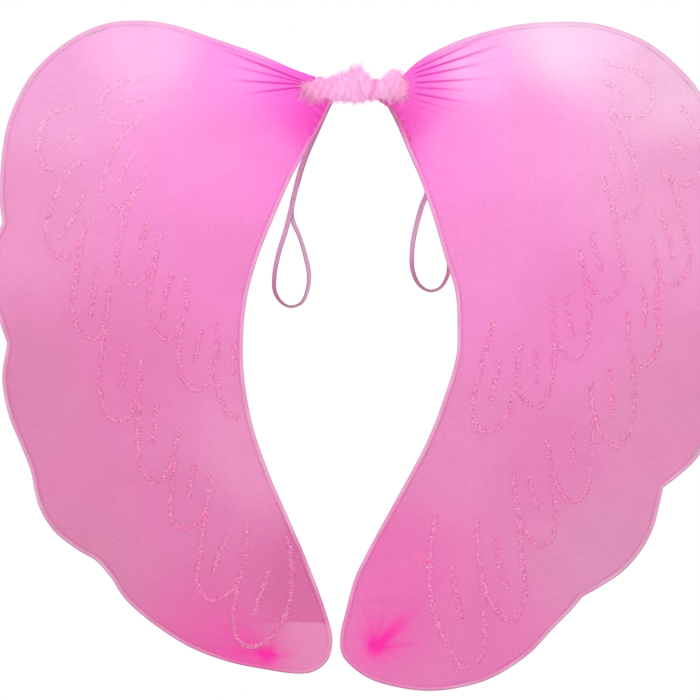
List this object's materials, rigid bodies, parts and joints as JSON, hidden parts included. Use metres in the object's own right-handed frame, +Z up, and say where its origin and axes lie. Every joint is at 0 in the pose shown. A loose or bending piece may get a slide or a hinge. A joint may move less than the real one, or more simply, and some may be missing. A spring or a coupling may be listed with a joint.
{
  "type": "fairy wings",
  "caption": "Pair of wire-framed stretch-fabric costume wings with glitter feather outlines, a fur-wrapped centre that lets each wing fold, and elastic arm loops.",
  "frame": {"origin": "middle of the flat back of the fur trim, where the wings rest on the wearer's back", "axes": "+Z up, +Y towards the wearer, +X to the wearer's right; the glitter front faces -Y"},
  "size_m": [0.6085, 0.0306, 0.5483],
  "materials": {
    "knit_nylon": "sheer stretch knit, hot pink in the gathers and pale where it is pulled thin",
    "marabou_fur": "fluffy, soft pale pink fibres",
    "glitter_glue": "clear glue beads full of silver and pink glitter",
    "flat_elastic": "woven, matt dusty pink",
    "steel_wire": "drawn galvanised wire",
    "cloth_tape": "matt adhesive cloth tape",
    "sewing_thread": "spun polyester thread"
  },
  "bodies": {
    "centre": {"fur_trim": "marabou_fur", "binding_tape": "cloth_tape", "left_upper_wire_tail": "steel_wire", "left_lower_wire_tail": "steel_wire", "right_upper_wire_tail": "steel_wire", "right_lower_wire_tail": "steel_wire"},
    "left_wing": {"left_frame_wire": "steel_wire", "left_wing_cover": "knit_nylon", "left_gather_binding": "sewing_thread", "left_fur_end": "marabou_fur", "left_tip_knot": "knit_nylon", "left_tip_thread": "sewing_thread", "left_inner_feather_row": "glitter_glue", "left_outer_feather_row": "glitter_glue", "left_quill_01": "glitter_glue", "left_quill_02": "glitter_glue", "left_quill_03": "glitter_glue", "left_quill_04": "glitter_glue", "left_quill_05": "glitter_glue", "left_quill_06": "glitter_glue", "left_quill_07": "glitter_glue", "left_quill_08": "glitter_glue", "left_quill_09": "glitter_glue", "left_quill_10": "glitter_glue", "left_quill_11": "glitter_glue", "left_quill_12": "glitter_glue", "left_quill_13": "glitter_glue", "left_quill_14": "glitter_glue"},
    "right_wing": {"right_frame_wire": "steel_wire", "right_wing_cover": "knit_nylon", "right_gather_binding": "sewing_thread", "right_fur_end": "marabou_fur", "right_tip_knot": "knit_nylon", "right_tip_thread": "sewing_thread", "right_inner_feather_row": "glitter_glue", "right_outer_feather_row": "glitter_glue", "right_quill_01": "glitter_glue", "right_quill_02": "glitter_glue", "right_quill_03": "glitter_glue", "right_quill_04": "glitter_glue", "right_quill_05": "glitter_glue", "right_quill_06": "glitter_glue", "right_quill_07": "glitter_glue", "right_quill_08": "glitter_glue", "right_quill_09": "glitter_glue", "right_quill_10": "glitter_glue", "right_quill_11": "glitter_glue", "right_quill_12": "glitter_glue", "right_quill_13": "glitter_glue", "right_quill_14": "glitter_glue"},
    "left_arm_loop": {"left_elastic_tie": "flat_elastic", "left_elastic_knot": "flat_elastic", "left_arm_elastic": "flat_elastic"},
    "right_arm_loop": {"right_elastic_tie": "flat_elastic", "right_elastic_knot": "flat_elastic", "right_arm_elastic": "flat_elastic"}
  },
  "joints": [
    {"name": "left_wing_fold", "type": "hinge", "parent": "centre", "child": "left_wing", "pos_m": [-0.03, -0.011, 0], "axis": [0, 0, 1], "range_deg": [-10, 80]},
    {"name": "right_wing_fold", "type": "hinge", "parent": "centre", "child": "right_wing", "pos_m": [0.028, -0.011, 0], "axis": [0, 0, -1], "range_deg": [-10, 80]},
    {"name": "left_loop_swing", "type": "hinge", "parent": "centre", "child": "left_arm_loop", "pos_m": [-0.024, -0.011, 0], "axis": [1, 0, 0], "range_deg": [0, 100]},
    {"name": "right_loop_swing", "type": "hinge", "parent": "centre", "child": "right_arm_loop", "pos_m": [0.022, -0.011, 0], "axis": [1, 0, 0], "range_deg": [0, 100]}
  ]
}
